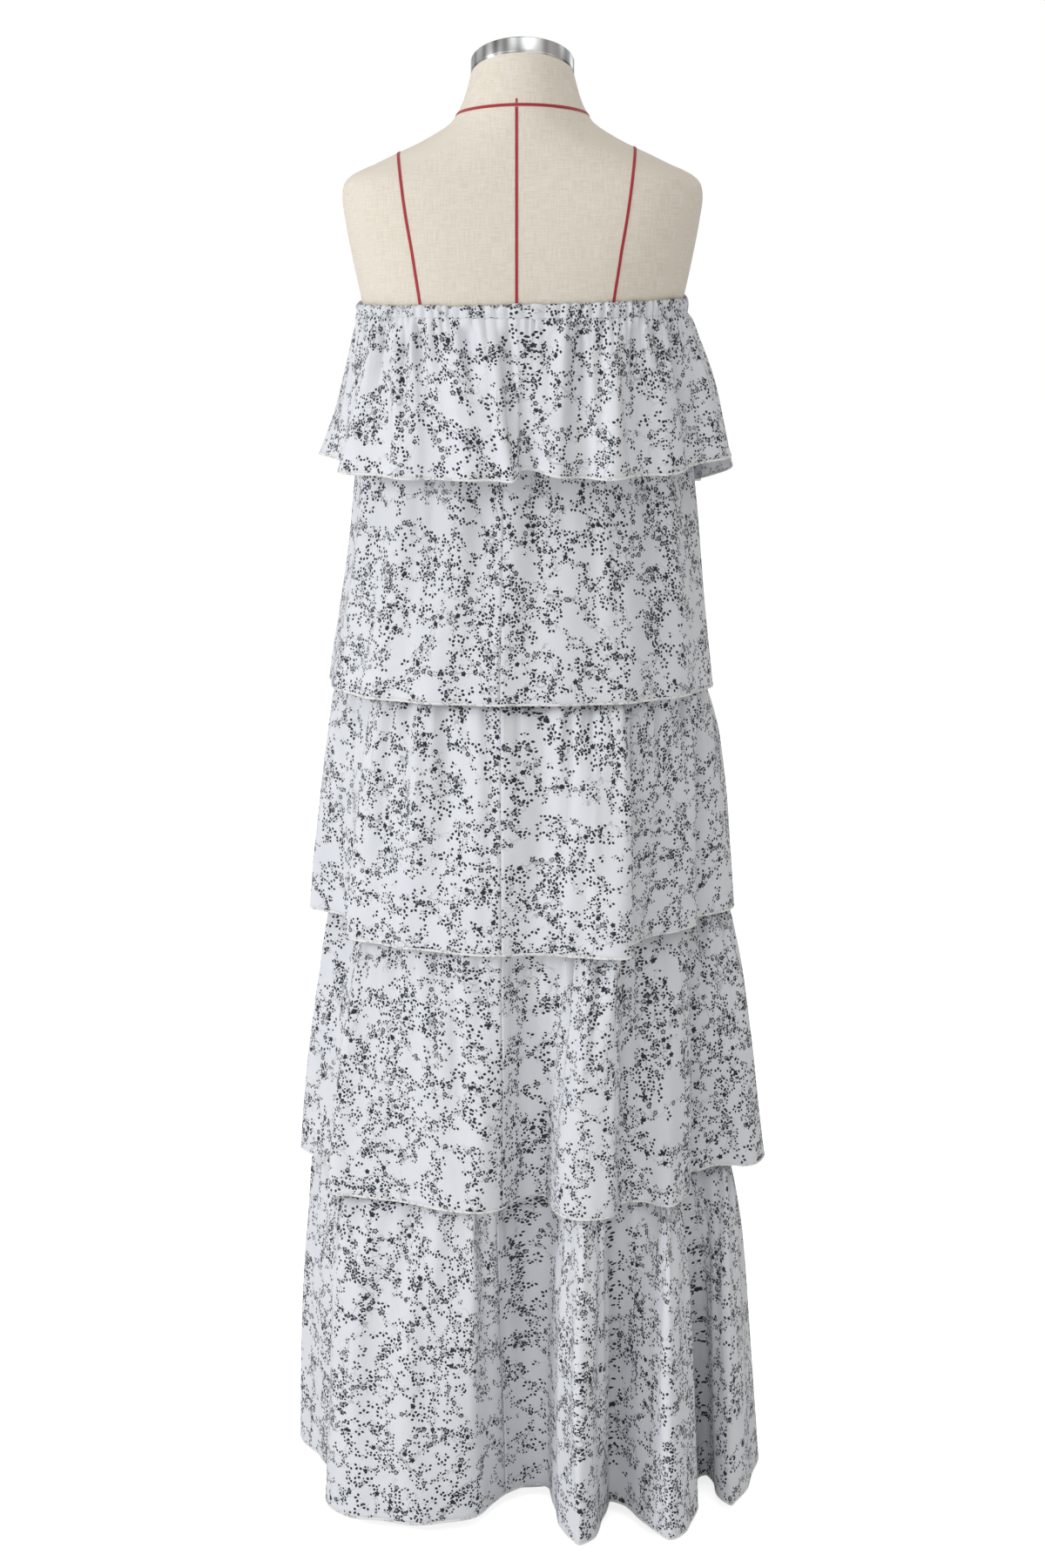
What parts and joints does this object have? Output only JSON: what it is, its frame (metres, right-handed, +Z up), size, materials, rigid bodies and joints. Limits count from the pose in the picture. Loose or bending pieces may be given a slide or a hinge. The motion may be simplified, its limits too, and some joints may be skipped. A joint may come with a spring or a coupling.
{
  "type": "maxi dress on a dress form",
  "caption": "Strapless tiered maxi dress with an elastic gathered top edge, a ruffle and gathered chiffon tiers, on a limbless linen dress form with a pole and a round base.",
  "frame": {"origin": "on the floor, at the middle of the base plate's underside, under the pole", "axes": "+Z up; the wearer's back, with the centre back seam, faces -Y, which is the side the picture shows; +Y is the wearer's front; +X is the wearer's right"},
  "size_m": [0.5329, 0.489, 1.572],
  "materials": {
    "chiffon": "sheer matt chiffon, printed with small dark blossoms and sprigs",
    "linen": "natural linen cover, fine plain weave with flecks",
    "tape": "narrow red style tape",
    "steel": "brushed round the axis",
    "lacquer": "smooth white lacquer"
  },
  "bodies": {
    "root": {"form_body": "linen", "neck_cap": "steel", "form_flange": "steel", "pole": "steel", "base_plate": "lacquer", "tape_neck": "tape", "tape_back_centre": "tape", "tape_front_centre": "tape", "tape_left": "tape", "tape_right": "tape", "elastic_casing": "chiffon", "ruffle_back": "chiffon", "ruffle_front": "chiffon", "tier2_back_left": "chiffon", "tier2_back_right": "chiffon", "tier2_front": "chiffon", "tier3_back_left": "chiffon", "tier3_back_right": "chiffon", "tier3_front": "chiffon", "tier4_back_left": "chiffon", "tier4_back_right": "chiffon", "tier4_front": "chiffon", "tier5_back_left": "chiffon", "tier5_back_right": "chiffon", "tier5_front": "chiffon"}
  },
  "joints": []
}
